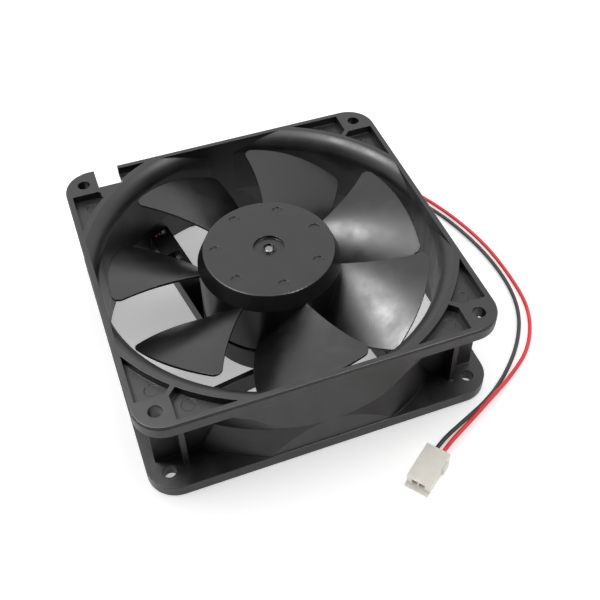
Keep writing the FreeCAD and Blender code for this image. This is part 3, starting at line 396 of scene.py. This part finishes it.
def dress_cad_nodes(materials):
    """Each CAD node takes the material of the slot that the record gives it."""
    for entry in frame["record"]["subparts"]:
        dress(frame["nodes"][entry["node"]], materials[entry["material_slot"]])


# ---- leads ----

def free_lead(name, route, material):
    """Smooth round lead along its route."""
    curve = bpy.data.curves.new(name, "CURVE")
    curve.dimensions = "3D"
    spline = curve.splines.new("NURBS")
    spline.points.add(len(route) - 1)
    for point, place in zip(spline.points, route):
        point.co = (*place, 1.0)
    spline.order_u = 3
    spline.use_endpoint_u = True
    spline.resolution_u = 8
    curve.bevel_depth = LEAD_DIAMETER / 2
    curve.bevel_resolution = 5
    curve.use_fill_caps = True
    piece = bpy.data.objects.new(name, curve)
    bpy.context.scene.collection.objects.link(piece)
    dress(piece, material)
    return piece


# ---- connector ----

def finished_piece(name, shape, place, material):
    """Turns a bmesh in millimetres into an object in metres, in the CAD parts' frame."""
    bmesh.ops.remove_doubles(shape, verts=shape.verts, dist=NEAR)
    bmesh.ops.recalc_face_normals(shape, faces=shape.faces)
    bmesh.ops.transform(shape, matrix=Matrix.Scale(MM, 4) @ place, verts=shape.verts)
    mesh = bpy.data.meshes.new(name)
    shape.to_mesh(mesh)
    shape.free()
    piece = bpy.data.objects.new(name, mesh)
    bpy.context.scene.collection.objects.link(piece)
    dress(piece, material)
    return piece


def round_edges(shape, edges, amount):
    """Rounds these edges."""
    bmesh.ops.bevel(shape, geom=edges, offset=amount, segments=3, profile=0.5, affect="EDGES",
                    material=-1, clamp_overlap=True)


def add_block(shape, low, high, ease=0.0):
    """Adds a block between two corners, with eased edges."""
    size = [b - a for a, b in zip(low, high)]
    middle = [(a + b) / 2 for a, b in zip(low, high)]
    matrix = Matrix.Translation(middle) @ Matrix.Diagonal((*size, 1.0))
    made = bmesh.ops.create_cube(shape, size=1.0, matrix=matrix)["verts"]
    if ease:
        round_edges(shape, list({edge for vert in made for edge in vert.link_edges}), ease)


def slice_across(shape, axis, places):
    """Cuts the shape by planes across one axis."""
    for place in places:
        spot = [0.0, 0.0, 0.0]
        normal = [0.0, 0.0, 0.0]
        spot[axis] = place
        normal[axis] = 1.0
        bmesh.ops.bisect_plane(shape, geom=shape.verts[:] + shape.edges[:] + shape.faces[:],
                               plane_co=spot, plane_no=normal, dist=1e-5)


def open_cavity(shape, middle, level):
    """Bridges the two end faces at one cavity into a square passage."""
    ends = [face for face in shape.faces
            if abs(abs(face.normal.x) - 1) < 1e-3
            and abs(face.calc_center_median().y - middle) < END_FACE_NEAR
            and abs(face.calc_center_median().z - level) < END_FACE_NEAR]
    rims = [edge for face in ends for edge in face.edges]
    bmesh.ops.delete(shape, geom=ends, context="FACES_ONLY")
    bmesh.ops.bridge_loops(shape, edges=rims)


def connector_shell(material):
    """Two-way housing: a hollow block with a latch on one side and a shelf below its mouth."""
    half = CONNECTOR_WIDTH / 2
    level = CONNECTOR_HEIGHT / 2
    reach = CONNECTOR_CAVITY / 2
    middles = (-CONNECTOR_PITCH / 2, CONNECTOR_PITCH / 2)
    shape = bmesh.new()
    add_block(shape, (0, -half, 0), (CONNECTOR_LENGTH, half, CONNECTOR_HEIGHT))
    slice_across(shape, 1, [middle + side * reach for middle in middles for side in (-1, 1)])
    slice_across(shape, 2, [level - reach, level + reach])
    for middle in middles:
        open_cavity(shape, middle, level)
    long_edges = [edge for edge in shape.edges
                  if all(abs(abs(vert.co.y) - half) < NEAR for vert in edge.verts)
                  and edge.is_manifold and edge.calc_face_angle() > SHARP_TURN]
    round_edges(shape, long_edges, CONNECTOR_ROUND)
    add_block(shape, (CONNECTOR_LENGTH - SHELF_ROOT, -half + SET_IN, SET_IN),
              (CONNECTOR_LENGTH + CONNECTOR_SHELF - SET_IN, half - SET_IN, CONNECTOR_WALL), SMALL_ROUND)
    add_block(shape, (LATCH_PLACE[0], half - LATCH_ROOT, CONNECTOR_WALL),
              (LATCH_PLACE[1], half + LATCH_REACH - SET_IN, CONNECTOR_HEIGHT - CONNECTOR_WALL), SMALL_ROUND)
    place = (Matrix.Translation((*CONNECTOR_PLACE, 0.0))
             @ Matrix.Rotation(math.radians(CONNECTOR_HEADING), 4, "Z"))
    return finished_piece("connector_shell", shape, place, material)


# ---- floor, light and camera ----

def pale_floor():
    """Wide matt floor just below the feet."""
    shape = bmesh.new()
    bmesh.ops.create_grid(shape, x_segments=1, y_segments=1, size=FLOOR_SIZE)
    bmesh.ops.translate(shape, vec=(0, 0, -FLOOR_DROP), verts=shape.verts)
    mesh = bpy.data.meshes.new("floor")
    shape.to_mesh(mesh)
    shape.free()
    floor = bpy.data.objects.new("floor", mesh)
    bpy.context.scene.collection.objects.link(floor)
    material, tree, shader = blank_material("floor_paper")
    tone = mottle(tree, object_place(tree), 120.0, 2.0)
    tree.links.new(shade(tree, tone, (0.92, 0.92, 0.92), (0.94, 0.94, 0.94)), shader.inputs["Base Color"])
    shader.inputs["Roughness"].default_value = 0.9
    shader.inputs["Specular IOR Level"].default_value = 0.1
    shader.inputs["Emission Color"].default_value = (1.0, 1.0, 1.0, 1.0)
    shader.inputs["Emission Strength"].default_value = FLOOR_GLOW
    dress(floor, material)


def soft_box(name, place, aim):
    """Square area light turned towards a point."""
    light = bpy.data.lights.new(name, "AREA")
    light.shape = "SQUARE"
    light.size = LAMP_SIZE
    light.energy = LAMP_POWER
    lamp = bpy.data.objects.new(name, light)
    bpy.context.scene.collection.objects.link(lamp)
    lamp.location = place
    lamp.visible_diffuse = False
    lamp.rotation_euler = (Vector(aim) - Vector(place)).to_track_quat("-Z", "Y").to_euler()


def studio():
    """White sky, brighter from the back than from the front, and two soft boxes."""
    world = bpy.data.worlds.new("studio")
    bpy.context.scene.world = world
    world.use_nodes = True
    tree = world.node_tree
    around = tree.nodes.new("ShaderNodeTexCoord")
    part = tree.nodes.new("ShaderNodeSeparateXYZ")
    tree.links.new(around.outputs["Generated"], part.inputs["Vector"])
    sky = spread(tree, part.outputs["Y"], SKY_FRONT, SKY_BACK, *SKY_TURN)
    tree.links.new(sky, tree.nodes["Background"].inputs["Strength"])
    tree.nodes["Background"].inputs["Color"].default_value = (1.0, 1.0, 1.0, 1.0)
    soft_box("front", *FRONT_LAMP)
    soft_box("left", *LEFT_LAMP)
    bpy.context.scene.view_settings.view_transform = "Standard"


def camera():
    """Camera on its line through the aim, at its distance."""
    azimuth = math.radians(CAMERA_AZIMUTH)
    elevation = math.radians(CAMERA_ELEVATION)
    back = Vector((math.sin(azimuth) * math.cos(elevation), -math.cos(azimuth) * math.cos(elevation),
                   math.sin(elevation)))
    lens = bpy.data.cameras.new("camera")
    lens.lens = CAMERA_LENS
    lens.shift_x, lens.shift_y = CAMERA_SHIFT
    lens.clip_start, lens.clip_end = CAMERA_CLIP
    eye = bpy.data.objects.new("camera", lens)
    bpy.context.scene.collection.objects.link(eye)
    eye.location = (Vector(CAMERA_AIM) + back * CAMERA_DISTANCE) * MM
    eye.rotation_mode = "QUATERNION"
    eye.rotation_quaternion = back.to_track_quat("Z", "Y")
    bpy.context.scene.camera = eye


def build():
    """Finishes, leads and connector, then the floor, the light and the camera."""
    materials = finishes()
    dress_cad_nodes(materials)

    red = free_lead("free_lead_red", RED_ROUTE, materials["red_insulation"])
    black = free_lead("free_lead_black", BLACK_ROUTE, materials["black_insulation"])
    shell = connector_shell(materials["connector_nylon"])
    for piece, node, slot in ((red, "lead_red", "red_insulation"),
                              (black, "lead_black", "black_insulation"),
                              (shell, "connector_housing", "connector_nylon")):
        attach(piece, "housing")
        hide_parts(node)

    pale_floor()
    studio()
    camera()


build()
